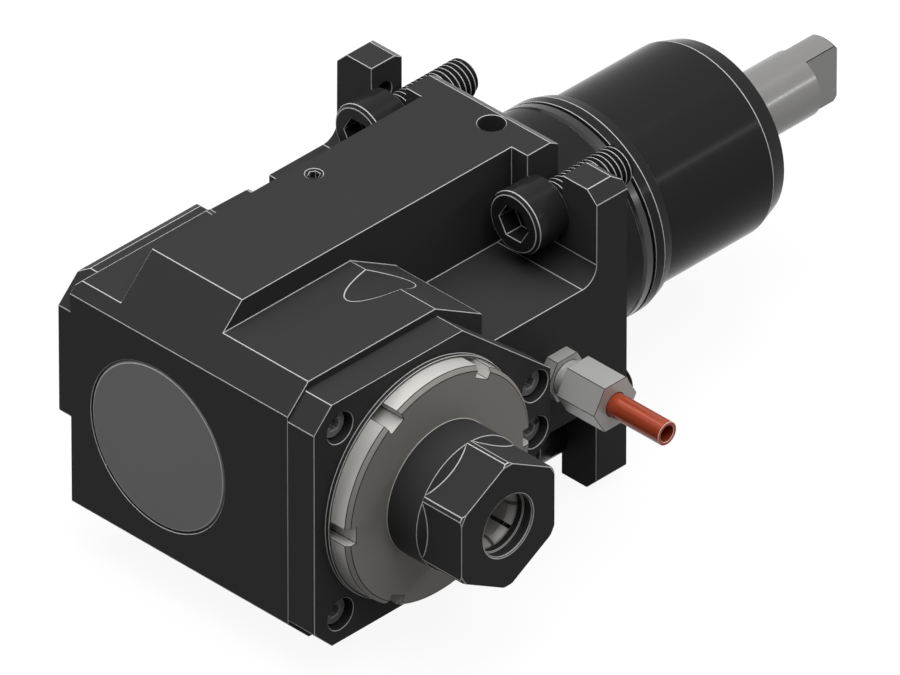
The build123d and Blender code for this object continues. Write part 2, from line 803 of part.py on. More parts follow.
def make_circlip(line, start, inner, outer, opening):
    """Open snap ring."""
    ring = tube(line, start, start + circlip_thick, outer, inner)
    gap = line.location * Pos(0, -opening / 2, start - 1) * Box(
        outer + 2, opening, circlip_thick + 2, align=(Align.MIN, Align.MIN, Align.MIN))
    return ring - gap


def collet_radius_at(x):
    return taper_mouth_radius - (nose_end - x) * math.tan(math.radians(taper_angle)) - running


def make_collet():
    """Slotted spring collet in the spindle's taper."""
    rear = collet_front - collet_length
    groove = collet_groove_start
    body = turn(spindle_line, [
        (rear, collet_bore), (rear, collet_radius_at(rear)),
        (groove, collet_radius_at(groove)), (groove, collet_groove_radius),
        (collet_groove_end, collet_groove_radius), (collet_groove_end, collet_cone_radius),
        (collet_front, collet_cone_end_radius), (collet_front, collet_mouth_radius),
        (collet_front - collet_mouth_depth, collet_bore)])
    reach = 0.8 * collet_length
    for number in range(collet_slots):
        step = 360 / collet_slots
        front_slot = Pos(0, -collet_slot_width / 2, collet_front - reach) * Box(
            nut_radius, collet_slot_width, reach + 1, align=(Align.MIN, Align.MIN, Align.MIN))
        rear_slot = Pos(0, -collet_slot_width / 2, rear - 1) * Box(
            nut_radius, collet_slot_width, reach + 1, align=(Align.MIN, Align.MIN, Align.MIN))
        body -= spindle_line.location * Rot(0, 0, step * number) * front_slot
        body -= spindle_line.location * Rot(0, 0, step * (number + 0.5)) * rear_slot
    return body


def make_collet_nut():
    """Hexagonal nut that presses the collet home."""
    bevel = nut_chamfer
    outside = turn(spindle_line, [
        (nut_rear, 0), (nut_rear, nut_radius - 0.5), (nut_rear + 0.5, nut_radius),
        (nut_relief_start, nut_radius), (nut_relief_start, nut_relief_radius),
        (nut_hex_start, nut_relief_radius), (nut_relief_end, nut_radius),
        (nut_front - bevel, nut_radius), (nut_front, nut_radius - bevel), (nut_front, 0)])
    cutter = tube(spindle_line, nut_hex_start, nut_front + 1, 2 * nut_radius, 0.5)
    cutter -= hex_bar(spindle_line, nut_hex_start - 1, nut_front + 2, nut_across_flats, 30)
    outside -= cutter
    cone_play = running
    return outside - turn(spindle_line, [
        (nut_rear - 1, 0), (nut_rear - 1, nose_radius + running),
        (collet_groove_start + face_play, nose_radius + running),
        (collet_groove_start + face_play, nut_lip_radius),
        (collet_groove_end - face_play, nut_lip_radius),
        (collet_groove_end - face_play, collet_cone_radius + face_play),
        (collet_groove_end, collet_cone_radius + cone_play),
        (collet_front, collet_cone_end_radius + cone_play), (collet_front + cone_play, nut_mouth_radius),
        (nut_ring_start, nut_mouth_radius), (nut_ring_start, nut_ring_radius),
        (nut_ring_end, nut_ring_radius), (nut_ring_end, nut_mouth_radius),
        (nut_front - nut_mouth_break, nut_mouth_radius), (nut_front, nut_mouth_radius + nut_mouth_break),
        (nut_front + 1, nut_mouth_radius + nut_mouth_break), (nut_front + 1, 0)])


def make_fitting():
    """Straight coolant fitting screwed into the wing."""
    hex_end = right_face + fitting_hex_length
    neck_end = hex_end + fitting_neck_length
    end = right_face + fitting_length
    body = rod(coolant_line, right_face - fitting_stem_length, right_face, fitting_stem_radius)
    body += hex_bar(coolant_line, right_face, hex_end, fitting_hex_width, 0)
    body += rod(coolant_line, hex_end, neck_end, fitting_neck_radius)
    body += rod(coolant_line, neck_end, end, fitting_thread_radius)
    body -= rod(coolant_line, right_face - fitting_stem_length - 1, end, coolant_bore_radius)
    mouth = tube_radius + running
    throat = end - (cutting_ring_radius - tube_radius)
    return body - turn(coolant_line, [
        (tube_start, 0), (tube_start, mouth), (throat, mouth),
        (end, cutting_ring_radius + running), (end + 1, cutting_ring_radius + running), (end + 1, 0)])


def make_union_nut():
    """Hexagonal union nut on the coolant fitting."""
    body = hex_bar(coolant_line, union_start, union_end, union_across_flats, 0)
    ring_radius = cutting_ring_radius + running
    return body - turn(coolant_line, [
        (union_start - 1, 0), (union_start - 1, fitting_thread_radius + running),
        (cutting_ring_end - 1.6, fitting_thread_radius + running),
        (cutting_ring_end - 1.6, ring_radius), (union_wall_start, tube_radius + running),
        (union_end + 1, tube_radius + running), (union_end + 1, 0)])


def make_cutting_ring():
    """Ring that bites on the tube under the union nut."""
    end = right_face + fitting_length
    throat = end - (cutting_ring_radius - tube_radius)
    wedge = cutting_ring_end - 1.6
    slope_end = tube_radius + 0.3
    return turn(coolant_line, [
        (throat + 0.2, tube_radius + seated), (end + 0.15, cutting_ring_radius - 0.05),
        (wedge, cutting_ring_radius - 0.05), (union_wall_start - 0.5, slope_end + 0.05),
        (union_wall_start - 0.5, tube_radius + seated)])


def make_parts():
    """Every piece of the holder, by name."""
    parts = {}
    parts["housing"] = make_housing()
    parts["front_cap"] = make_front_cap()
    cap_groove = block_front + cap_groove_start
    cap_radius = assembly_bore - seated
    parts["front_cap_o_ring"] = ring_seal(
        input_line, cap_groove + seated, cap_groove + cap_groove_width - seated,
        cap_radius, cap_radius - cap_groove_depth + seated)
    parts["bearing_flange"] = make_bearing_flange()
    parts["bearing_flange_screws"] = screws_from(small_screw_places(), plate_screw_seat, -1)
    parts["bearing_ring_nut"] = tube(
        spindle_line, front_bearing_end, front_bearing_end + ring_nut_width,
        ring_nut_radius, ring_nut_bore)
    parts["spindle_seal"] = ring_seal(
        spindle_line, front_bearing_end + 0.5, front_bearing_end + ring_nut_width,
        ring_nut_bore - seated, lock_ring_hub_radius + running)
    parts["spindle"] = make_spindle()
    parts["spindle_lock_ring"] = make_lock_ring()
    parts["spindle_bevel_gear"] = make_spindle_gear()
    parts["gear_key"] = key_block(0, 0)
    parts["gear_spacer"] = tube(
        spindle_line, rear_bearing_start + rear_bearing_width, gear_front,
        spindle_rear_radius + 1.5, spindle_rear_radius + seated)
    parts["spindle_circlip"] = make_circlip(
        spindle_line, rear_bearing_start - circlip_thick, spindle_rear_radius - 0.6 + seated,
        spindle_rear_radius + 2.0, 5.0)
    parts["rear_cover"] = make_rear_cover()
    cover_seat = left_face - cover_thick + small_head_height
    parts["rear_cover_screws"] = screws_from(cover_screw_places(), cover_seat, 1)
    add_bearing(parts, "front_bearing_1", spindle_line, front_bearing_start,
                front_bearing_width, spindle_front_radius, front_bearing_outer, 10)
    add_bearing(parts, "front_bearing_2", spindle_line, front_bearing_start + front_bearing_width,
                front_bearing_width, spindle_front_radius, front_bearing_outer, 10)
    add_bearing(parts, "rear_bearing", spindle_line, rear_bearing_start,
                rear_bearing_width, spindle_rear_radius, rear_bearing_outer, 8)
    add_bearing(parts, "input_bearing_1", input_line, input_bearing_start,
                input_bearing_width, input_bearing_bore, input_bearing_outer, 8)
    add_bearing(parts, "input_bearing_2", input_line, input_bearing_start + input_bearing_width,
                input_bearing_width, input_bearing_bore, input_bearing_outer, 8)
    add_bearing(parts, "shank_bearing", input_line, shank_bearing_start,
                shank_bearing_width, shank_bearing_bore, shank_bearing_outer, 8)
    parts["input_shaft"] = make_input_shaft()
    parts["input_lock_nut"] = make_lock_nut()
    parts["input_bearing_ring"] = tube(
        input_line, input_bearing_start - ring_thread_length + 1, input_bearing_start,
        ring_thread_radius - seated, ring_thread_radius - 1.6)
    parts["shaft_circlip"] = make_circlip(
        input_line, shank_bearing_start + shank_bearing_width, shank_bearing_bore - 0.6 + seated,
        shank_bearing_bore + 2.0, 5.0)
    parts["shaft_seal"] = ring_seal(
        input_line, seal_start, seal_start + seal_width, shank_bearing_outer - seated,
        drive_radius + running)
    parts["shank_circlip"] = make_circlip(
        input_line, seal_start + seal_width, shank_bearing_outer - 2.2,
        shank_bearing_outer + 1.0 - seated, 7.0)
    parts["shank_o_ring"] = ring_seal(
        input_line, o_ring_groove_start + 0.1, o_ring_groove_end - 0.1,
        pilot_radius - seated, pilot_radius - o_ring_groove_depth + seated)
    plug_line = Plane(origin=(plug_x, plug_y, ridge_half_height), z_dir=(0, 0, -1))
    parts["grease_plug"] = rod(plug_line, 0.2, plug_length, plug_radius) - hex_bar(
        plug_line, -1, 2.4, plug_socket_width)
    parts["collet"] = make_collet()
    parts["collet_nut"] = make_collet_nut()
    for number, (x_side, z_side) in enumerate([(1, 1), (-1, 1), (-1, -1), (1, -1)], 1):
        line = Plane(origin=(slot_x * x_side, 0, slot_z * z_side),
                     x_dir=(1, 0, 0), z_dir=(0, 1, 0))
        parts[f"clamp_screw_{number}"] = socket_screw(
            line, -flange_thick, clamp_length, clamp_radius, clamp_thread_start,
            clamp_thread_radius, clamp_head_radius, clamp_head_height, clamp_socket_width,
            clamp_socket_depth, clamp_head_chamfer, clamp_tip_chamfer)
    parts["coolant_fitting"] = make_fitting()
    parts["coolant_union_nut"] = make_union_nut()
    parts["coolant_cutting_ring"] = make_cutting_ring()
    parts["coolant_tube"] = tube(coolant_line, tube_start, tube_end, tube_radius, tube_bore)
    port = Plane(origin=(coolant_port_x, 0, coolant_z), x_dir=(1, 0, 0), z_dir=(0, 1, 0))
    parts["coolant_port_o_ring"] = ring_seal(
        port, -1.6, 0.2, 2 * coolant_bore_radius - seated, 2 * coolant_bore_radius - 1.6)
    return parts


def add_bearing(parts, name, line, start, width, bore, outer, balls):
    """Put the three pieces of a bearing among the parts."""
    outer_ring, inner_ring, caged = ball_bearing(
        line, start, width, bore + seated, outer, balls)
    parts[name + "_outer"] = outer_ring
    parts[name + "_inner"] = inner_ring
    parts[name + "_balls"] = caged


os.makedirs("parts", exist_ok=True)
for node, piece in make_parts().items():
    export_step(piece, f"parts/{node}.step")
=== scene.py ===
import json
import math

import bpy
from mathutils import Matrix, Vector


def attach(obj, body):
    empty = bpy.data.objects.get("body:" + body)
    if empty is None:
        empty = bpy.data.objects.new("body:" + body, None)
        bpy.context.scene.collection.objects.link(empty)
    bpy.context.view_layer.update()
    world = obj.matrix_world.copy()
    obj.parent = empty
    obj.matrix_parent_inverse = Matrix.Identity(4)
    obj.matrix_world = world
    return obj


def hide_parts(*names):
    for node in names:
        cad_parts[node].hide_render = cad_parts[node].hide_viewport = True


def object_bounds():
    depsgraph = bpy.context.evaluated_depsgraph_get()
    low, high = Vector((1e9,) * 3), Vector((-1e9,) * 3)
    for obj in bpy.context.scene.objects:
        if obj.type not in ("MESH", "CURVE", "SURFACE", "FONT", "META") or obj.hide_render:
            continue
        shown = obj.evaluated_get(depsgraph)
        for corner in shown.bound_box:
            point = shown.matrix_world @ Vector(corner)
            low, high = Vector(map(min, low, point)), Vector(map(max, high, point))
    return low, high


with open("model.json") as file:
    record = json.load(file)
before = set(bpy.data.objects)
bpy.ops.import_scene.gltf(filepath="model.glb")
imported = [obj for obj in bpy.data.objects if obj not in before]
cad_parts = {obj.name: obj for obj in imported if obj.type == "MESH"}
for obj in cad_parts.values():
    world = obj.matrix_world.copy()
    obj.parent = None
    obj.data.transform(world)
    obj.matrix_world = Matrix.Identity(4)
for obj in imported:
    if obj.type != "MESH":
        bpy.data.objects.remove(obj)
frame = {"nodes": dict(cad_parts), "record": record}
cad_box = [list(corner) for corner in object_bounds()]
bpy.ops.object.select_all(action="DESELECT")
scene = bpy.context.scene
scene.view_settings.view_transform = "Standard"

# The camera stands where the photograph was taken from, so far off and with so long a lens
# that parallel edges of the holder stay parallel in the picture.
camera_right = Vector((0.70938, 0.70483, 0.0))
camera_up = Vector((-0.40037, 0.40296, 0.82299))
camera_back = camera_right.cross(camera_up).normalized()
view_width = 0.205714
view_right, view_up, view_back = -0.0108, -0.0192, 0.012
view_centre = camera_right * view_right + camera_up * view_up + camera_back * view_back
camera_data = bpy.data.cameras.new("camera")
camera_data.lens = 1290.0
camera_data.sensor_width = 36.0
camera_distance = view_width * camera_data.lens / camera_data.sensor_width
camera = bpy.data.objects.new("camera", camera_data)
camera.matrix_world = Matrix((
    (camera_right.x, camera_up.x, camera_back.x, 0.0),
    (camera_right.y, camera_up.y, camera_back.y, 0.0),
    (camera_right.z, camera_up.z, camera_back.z, 0.0),
    (0.0, 0.0, 0.0, 1.0)))
camera.location = view_centre + camera_back * camera_distance
camera_data.clip_start = 1.0
camera_data.clip_end = 30.0
scene.collection.objects.link(camera)
scene.camera = camera

# The floor shows evenly white to the camera and in polished surfaces, and keeps a soft shadow.
# To the lamps it is a dark sheet, so that it throws little light up at the holder.


def seen_as_background(tree):
    """1 for a ray that shows the background: straight, in a reflection or through glass."""
    path = tree.nodes.new("ShaderNodeLightPath")
    seen = path.outputs["Is Camera Ray"]
    for kind in ("Is Glossy Ray", "Is Transmission Ray"):
        either = tree.nodes.new("ShaderNodeMath")
        either.operation = "MAXIMUM"
        tree.links.new(seen, either.inputs[0])
        tree.links.new(path.outputs[kind], either.inputs[1])
        seen = either.outputs[0]
    return seen


floor_size, floor_gap, floor_white = 30.0, 0.0002, 0.92
bpy.ops.mesh.primitive_plane_add(size=floor_size, location=(0, 0, cad_box[0][2] - floor_gap))
floor = bpy.context.object
floor.name = "floor"
floor_material = bpy.data.materials.new("white_floor")
floor_material.use_nodes = True
floor_tree = floor_material.node_tree
floor_shader = floor_tree.nodes["Principled BSDF"]
floor_shader.inputs["Base Color"].default_value = (0.12, 0.12, 0.12, 1)
floor_shader.inputs["Roughness"].default_value = 0.9
floor_shader.inputs["Specular IOR Level"].default_value = 0.1
floor_shader.inputs["Emission Color"].default_value = (1, 1, 1, 1)
floor_glow = floor_tree.nodes.new("ShaderNodeMath")
floor_glow.operation = "MULTIPLY"
floor_glow.inputs[1].default_value = floor_white
floor_tree.links.new(seen_as_background(floor_tree), floor_glow.inputs[0])
floor_tree.links.new(floor_glow.outputs[0], floor_shader.inputs["Emission Strength"])
floor.data.materials.append(floor_material)
floor.select_set(False)

# The studio is a soft lamp overhead, weaker strips from the sides that draw light streaks on
# round steel, and a pale surround.
world = bpy.data.worlds.new("pale_surround")
world.use_nodes = True
scene.world = world
surround = world.node_tree.nodes["Background"]
surround.inputs["Color"].default_value = (1, 1, 1, 1)
surround_level = world.node_tree.nodes.new("ShaderNodeMapRange")
surround_level.inputs["To Min"].default_value = 0.03
surround_level.inputs["To Max"].default_value = 1.0
world.node_tree.links.new(seen_as_background(world.node_tree), surround_level.inputs["Value"])
world.node_tree.links.new(surround_level.outputs["Result"], surround.inputs["Strength"])


def add_lamp(name, place, aim, size, power):
    """A rectangular soft lamp at a place, turned to shine on a point."""
    data = bpy.data.lights.new(name, "AREA")
    data.shape = "RECTANGLE"
    data.size, data.size_y = size
    data.energy = power
    lamp = bpy.data.objects.new(name, data)
    lamp.location = place
    lamp.rotation_euler = (Vector(aim) - Vector(place)).to_track_quat("-Z", "Y").to_euler()
    lamp.visible_camera = False
    scene.collection.objects.link(lamp)


strip_size = (0.9, 0.06)
add_lamp("overhead_lamp", (0.10, -0.12, 1.25), aim=(0, 0, 0), size=(1.6, 1.6), power=20.6)
add_lamp("front_strip", (-0.70, -0.87, 0.45), aim=(0, -0.05, 0), size=strip_size, power=1.7)
add_lamp("back_strip", (0.86, 0.70, 0.44), aim=(0, 0, 0), size=strip_size, power=1.5)

# The housing is milled and turned from one steel billet, then black oxidised. Its edges are
# broken with a file before the oxide. Every edge, hollow ones too, carries a bright strip: partly
# wear that handling rubbed bright, partly painted highlight.
# The grain group gives the finish that tools leave: fine marks with a height, and slow patches.
grain = bpy.data.node_groups.new("tool_grain", "ShaderNodeTree")
for label, start in (("Mark Scale", 2200.0), ("Stretch", 1.0), ("Patch Scale", 45.0)):
    socket = grain.interface.new_socket(label, in_out="INPUT", socket_type="NodeSocketFloat")
    socket.default_value = start
for label in ("Marks", "Patches"):
    grain.interface.new_socket(label, in_out="OUTPUT", socket_type="NodeSocketFloat")
grain_in = grain.nodes.new("NodeGroupInput")
grain_out = grain.nodes.new("NodeGroupOutput")
grain_place = grain.nodes.new("ShaderNodeTexCoord")
grain_stretch = grain.nodes.new("ShaderNodeCombineXYZ")
grain_stretch.inputs["X"].default_value = 1.0
grain_stretch.inputs["Z"].default_value = 1.0
grain.links.new(grain_in.outputs["Stretch"], grain_stretch.inputs["Y"])
grain_scaled = grain.nodes.new("ShaderNodeVectorMath")
grain_scaled.operation = "MULTIPLY"
grain.links.new(grain_place.outputs["Object"], grain_scaled.inputs[0])
grain.links.new(grain_stretch.outputs["Vector"], grain_scaled.inputs[1])
for label, scale, place, detail in (
        ("Marks", "Mark Scale", grain_scaled.outputs["Vector"], 2.0),
        ("Patches", "Patch Scale", grain_place.outputs["Object"], 4.0)):
    noise = grain.nodes.new("ShaderNodeTexNoise")
    noise.inputs["Detail"].default_value = detail
    grain.links.new(place, noise.inputs["Vector"])
    grain.links.new(grain_in.outputs[scale], noise.inputs["Scale"])
    grain.links.new(noise.outputs["Fac"], grain_out.inputs[label])
mark_low, mark_high, gloss_spread, relief_depth = 0.3, 0.7, 0.15, 0.00002


def metal(name, color, dark_share, roughness, marks, patches, metallic=0.0, bump=0.0,
          specular=0.5, stretch=1.0):
    """A metal finish: its colour and gloss vary with the grain that its tools left."""
    material = bpy.data.materials.new(name)
    material.use_nodes = True
    nodes, links = material.node_tree.nodes, material.node_tree.links
    shader = nodes["Principled BSDF"]
    shader.inputs["Metallic"].default_value = metallic
    shader.inputs["Specular IOR Level"].default_value = specular
    texture = nodes.new("ShaderNodeGroup")
    texture.node_tree = grain
    texture.inputs["Mark Scale"].default_value = marks
    texture.inputs["Stretch"].default_value = stretch
    texture.inputs["Patch Scale"].default_value = patches
    shade = nodes.new("ShaderNodeMix")
    shade.data_type = "RGBA"
    shade.inputs["A"].default_value = (*[c * dark_share for c in color], 1)
    shade.inputs["B"].default_value = (*color, 1)
    links.new(texture.outputs["Patches"], shade.inputs["Factor"])
    links.new(shade.outputs["Result"], shader.inputs["Base Color"])
    gloss = nodes.new("ShaderNodeMapRange")
    gloss.inputs["From Min"].default_value = mark_low
    gloss.inputs["From Max"].default_value = mark_high
    gloss.inputs["To Min"].default_value = roughness * (1 - gloss_spread)
    gloss.inputs["To Max"].default_value = roughness * (1 + gloss_spread)
    links.new(texture.outputs["Marks"], gloss.inputs["Value"])
    links.new(gloss.outputs["Result"], shader.inputs["Roughness"])
    relief = nodes.new("ShaderNodeBump")
    relief.inputs["Strength"].default_value = bump
    relief.inputs["Distance"].default_value = relief_depth
    links.new(texture.outputs["Marks"], relief.inputs["Height"])
    links.new(relief.outputs["Normal"], shader.inputs["Normal"])
    return material


def in_edit_mode(piece, kind="EDGE", action="DESELECT"):
    """Select one piece alone and open its mesh with nothing, or all, selected in it."""
    bpy.ops.object.select_all(action="DESELECT")
    piece.select_set(True)
    bpy.context.view_layer.objects.active = piece
    bpy.ops.object.mode_set(mode="EDIT")
    bpy.ops.mesh.select_mode(type=kind)
    bpy.ops.mesh.select_all(action=action)


def corner_key(point):
    """A corner's place, rounded so that the corners of loose triangles meet."""
    return tuple(round(part * 1e6) for part in point)


def machined_edges(mesh, turn=0.985):
    """The edges where a CAD piece's surface really turns, from the normals on its two sides."""
    normals = [Vector(corner.vector) for corner in mesh.corner_normals]
    sides = {}
    for face in mesh.polygons:
        corners = [(corner_key(mesh.vertices[mesh.loops[i].vertex_index].co), normals[i])
                   for i in face.loop_indices]
        for (a, a_normal), (b, b_normal) in zip(corners, corners[1:] + corners[:1]):
            if a > b:
                a, a_normal, b, b_normal = b, b_normal, a, a_normal
            sides.setdefault((a, b), []).append((a_normal, b_normal))
    found = set()
    for edge, pairs in sides.items():
        if len(pairs) != 2 or any(pairs[0][i].dot(pairs[1][i]) < turn for i in (0, 1)):
            found.add(edge)
    return found


cad_merge_reach, merge_reach, flat_angle = 0.000001, 0.000002, math.radians(0.3)


def merge_corners(piece):
    """Merge the corners of a piece that lie in one place."""
    in_edit_mode(piece, action="SELECT")
    bpy.ops.mesh.remove_doubles(threshold=merge_reach)
    bpy.ops.object.mode_set(mode="OBJECT")


def merged_copy(node, name):
    """A copy of a CAD piece with its triangles merged, and its machined edges marked."""
    source = frame["nodes"][node].data
    edges = machined_edges(source)
    piece = bpy.data.objects.new(name, source.copy())
    scene.collection.objects.link(piece)
    piece.data.materials.clear()
    in_edit_mode(piece, action="SELECT")
    bpy.ops.mesh.customdata_custom_splitnormals_clear()
    bpy.ops.mesh.remove_doubles(threshold=cad_merge_reach)
    bpy.ops.object.mode_set(mode="OBJECT")
    places = [corner_key(vertex.co) for vertex in piece.data.vertices]
    for edge in piece.data.edges:
        a, b = sorted(places[i] for i in edge.vertices)
        edge.use_seam = (a, b) in edges
    in_edit_mode(piece, action="SELECT")
    bpy.ops.mesh.dissolve_limited(angle_limit=flat_angle, delimit={"NORMAL", "SEAM"})
    bpy.ops.object.mode_set(mode="OBJECT")
    return piece


least_flat_area, flat_to_strip, straight_on = 0.00004, 12, 0.99999


def mark_round_starts(piece):
    """Mark the edges where a flat face runs smoothly into a round."""
    owners = {}
    for face in piece.data.polygons:
        for key in face.edge_keys:
            owners.setdefault(key, []).append(face)
    for edge in piece.data.edges:
        faces = owners.get(edge.key, [])
        if len(faces) == 2 and not edge.use_seam:
            strip, flat = sorted(faces, key=lambda face: face.area)
            if flat.area > flat_to_strip * strip.area and flat.area > least_flat_area and (
                    strip.normal.dot(flat.normal) < straight_on):
                edge.use_seam = True


smooth_angle = math.radians(28)


def break_edges(piece, face_material, edge_material, width):
    """File a narrow bevel on every marked edge, and give it the edge material, which shows it as
    a bright or a dark line.
    """
    piece.data.materials.clear()
    piece.data.materials.append(face_material)
    piece.data.materials.append(edge_material)
    in_edit_mode(piece)
    bpy.ops.object.mode_set(mode="OBJECT")
    for edge in piece.data.edges:
        edge.select = edge.use_seam
    if width:
        bpy.ops.object.mode_set(mode="EDIT")
        bpy.ops.mesh.bevel(offset=width, segments=1, material=1, clamp_overlap=False,
                           loop_slide=True)
        bpy.ops.object.mode_set(mode="OBJECT")
    bpy.ops.object.shade_smooth_by_angle(angle=smooth_angle)
    weigh = piece.modifiers.new("true_flats", "WEIGHTED_NORMAL")
    weigh.keep_sharp = True
    weigh.weight = 100
    bpy.ops.object.modifier_apply(modifier=weigh.name)
    piece.select_set(False)


def give_faces(piece, material, chosen):
    """Give another finish to the plain faces that a test on centre and normal picks out."""
    piece.data.materials.append(material)
    slot = len(piece.data.materials) - 1
    for face in piece.data.polygons:
        if face.material_index == 0 and chosen(face.center, face.normal):
            face.material_index = slot


def machined(node, body, face_material, edge_material, width, rounds=False, reshape=None):
    """A CAD piece finished as machined metal with broken edges, which takes its place."""
    piece = merged_copy(node, node + "_finished")
    if reshape:
        reshape(piece)
    if rounds:
        mark_round_starts(piece)
    break_edges(piece, face_material, edge_material, width)
    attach(piece, body)
    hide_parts(node)
    return piece


def mark_turns(piece, chosen, turn=0.99):
    """Mark afresh, among the edges that a test on their middle picks out, those that turn."""
    owners = {}
    for face in piece.data.polygons:
        for key in face.edge_keys:
            owners.setdefault(key, []).append(face.normal)
    for edge in piece.data.edges:
        a, b = (piece.data.vertices[i].co for i in edge.vertices)
        if chosen((a + b) / 2):
            normals = owners[edge.key]
            edge.use_seam = len(normals) != 2 or normals[0].dot(normals[1]) < turn


def split_faces(piece, chosen, place, direction):
    """Cut a line across the faces that a test on centre and normal picks out."""
    in_edit_mode(piece, "FACE")
    bpy.ops.object.mode_set(mode="OBJECT")
    for face in piece.data.polygons:
        face.select = chosen(face.center, face.normal)
    bpy.ops.object.mode_set(mode="EDIT")
    bpy.ops.mesh.bisect(plane_co=place, plane_no=direction)
    bpy.ops.object.mode_set(mode="OBJECT")


edge_break, close, square_on = 0.00014, 0.00001, 0.99
roof_height, roof_bevel_drop, roof_bevel_run = 0.0414, 0.0015, 0.002583
roof_bevel_half_width = 0.0145


def bevel_roof_rear(piece):
    """Carry the bevel of the block's rear edges right across the roof and the underside."""
    split_faces(piece, lambda centre, normal: abs(abs(centre.z) - roof_height) < close
                and abs(normal.z) > square_on, (0, -roof_bevel_run, 0), (0, 1, 0))
    for vertex in piece.data.vertices:
        if vertex.co.y > -close and abs(abs(vertex.co.z) - roof_height) < close and (
                abs(vertex.co.x) < roof_bevel_half_width + close):
            vertex.co.z -= math.copysign(roof_bevel_drop, vertex.co.z)
    merge_corners(piece)
    mark_turns(piece, lambda middle: middle.y > -roof_bevel_run - close
               and abs(middle.z) > roof_height - roof_bevel_drop - close
               and abs(middle.x) < roof_bevel_half_width + close)


block_side, flange_side, flange_front, fillet_end = 0.0417, 0.0418, -0.010, 0.0219


def true_up(piece):
    """Bevel the roof's rear edge, and let the block's side run flush into the flange's edge."""
    bevel_roof_rear(piece)
    for cut_z in (-fillet_end, fillet_end):
        split_faces(piece, lambda centre, normal: (
            abs(centre.y - flange_front) < close and normal.y < -square_on
            or abs(centre.x - flange_side) < close and normal.x > square_on),
            (0, 0, cut_z), (0, 0, 1))
    for vertex in piece.data.vertices:
        if abs(vertex.co.x - block_side) < close:
            vertex.co.x = flange_side
    merge_corners(piece)
    mark_turns(piece, lambda middle: abs(middle.x - flange_side) < close
               and abs(middle.y - flange_front) < close)


black_oxide = metal("black_oxide", (0.048, 0.048, 0.048), dark_share=0.94, roughness=0.5,
                    marks=1800, patches=40, bump=0.1, specular=0.03, stretch=0.3)
# A darker, glossier black for ground faces. Its darker tone is partly painted shade.
ground_black_and_painted_shade = metal("ground_black_and_painted_shade", (0.027, 0.027, 0.027), dark_share=0.92, roughness=0.16,
                     marks=1500, patches=40, specular=0.05, stretch=0.3)
# The bright edge strip is partly wear and partly painted highlight, since it runs along hollow
# edges too.
worn_edge_and_painted_highlight = metal("worn_edge_and_painted_highlight", (0.70, 0.70, 0.69), dark_share=0.9, roughness=0.5,
                    marks=900, patches=60, bump=0.1, specular=0.2)
shank_start, bevel_lean = 0.0003, 0.3
housing = machined("housing", "housing", black_oxide, worn_edge_and_painted_highlight, edge_break,
                   rounds=True, reshape=true_up)
# The ground shank and the roof's rear bevel take the darker black. On the shank it is partly its
# ground finish and partly painted shade. On the bevel it is painted shade.
give_faces(housing, ground_black_and_painted_shade, lambda centre, normal: centre.y > shank_start or (
    abs(centre.z) > roof_height - roof_bevel_drop and normal.y > bevel_lean))

# The front cap is a turned steel plug. It closes the bore that the input shaft goes in by, and
# is a lighter grey than the block.
cap_grey = metal("cap_grey", (0.275, 0.275, 0.273), dark_share=0.95, roughness=0.5,
                 marks=1500, patches=30, bump=0.1, specular=0.06, stretch=0.3)
machined("front_cap", "housing", cap_grey, worn_edge_and_painted_highlight, edge_break)

# The bearing flange is a milled steel plate, black like the housing. A low turned lip stands
# round its mouth, where the spindle comes out.
bearing_flange = machined("bearing_flange", "housing", black_oxide, worn_edge_and_painted_highlight,
                          edge_break, rounds=True)
line_y, line_z = -0.0755, 0.0
plate_face, flush = 0.0502, 0.00001
lip_height, lip_depth = 0.0011, 0.0015
lip_inner, lip_outer, lip_foot, lip_edge_reach = 0.02975, 0.03035, 0.0312, 0.0310


def spindle_reach(point):
    """A point's distance from the spindle's line."""
    return math.hypot(point.y - line_y, point.z - line_z)


def turned_ring(name, profile, steps=128):
    """A closed ring turned round the spindle's line from a profile of (place, radius) corners."""
    bpy.ops.mesh.primitive_circle_add(vertices=len(profile), radius=0.001)
    ring = bpy.context.object
    ring.name = name
    for vertex, (place, radius) in zip(ring.data.vertices, profile):
        vertex.co = (place, line_y + radius, line_z)
    in_edit_mode(ring, action="SELECT")
    bpy.ops.mesh.spin(steps=steps, angle=math.tau, center=(0, line_y, line_z), axis=(1, 0, 0))
    bpy.ops.mesh.select_all(action="SELECT")
    bpy.ops.mesh.remove_doubles(threshold=merge_reach)
    bpy.ops.mesh.normals_make_consistent(inside=False)
    bpy.ops.object.mode_set(mode="OBJECT")
    return ring


def join_to(piece, extra):
    """Make one mesh of a piece and another that is finished with the same materials."""
    bpy.ops.object.select_all(action="DESELECT")
    extra.select_set(True)
    piece.select_set(True)
    bpy.context.view_layer.objects.active = piece
    bpy.ops.object.join()
    piece.select_set(False)


lip = turned_ring("flange_mouth_lip", (
    (plate_face - lip_depth, lip_inner), (plate_face + lip_height, lip_inner),
    (plate_face + lip_height, lip_outer), (plate_face + flush, lip_outer),
    (plate_face + flush, lip_foot), (plate_face - lip_depth, lip_foot)))
mark_turns(lip, lambda middle: middle.x > plate_face and spindle_reach(middle) < lip_edge_reach)
break_edges(lip, black_oxide, worn_edge_and_painted_highlight, edge_break)
join_to(bearing_flange, lip)

# Four small cap screws of black oxidised steel hold the bearing flange. They sit in
# counterbores, and their hexagon sockets are worn grey.
screw_black = metal("screw_black", (0.026, 0.026, 0.027), dark_share=0.9, roughness=0.2,
                    marks=2500, patches=80, specular=0.06, stretch=0.4)
small_edge_break, stem_end = 0.0001, 0.0445
plate_screw_places, small_socket_radius = ((-0.1010, 0.0257), (-0.0383, 0.0064)), 0.0018


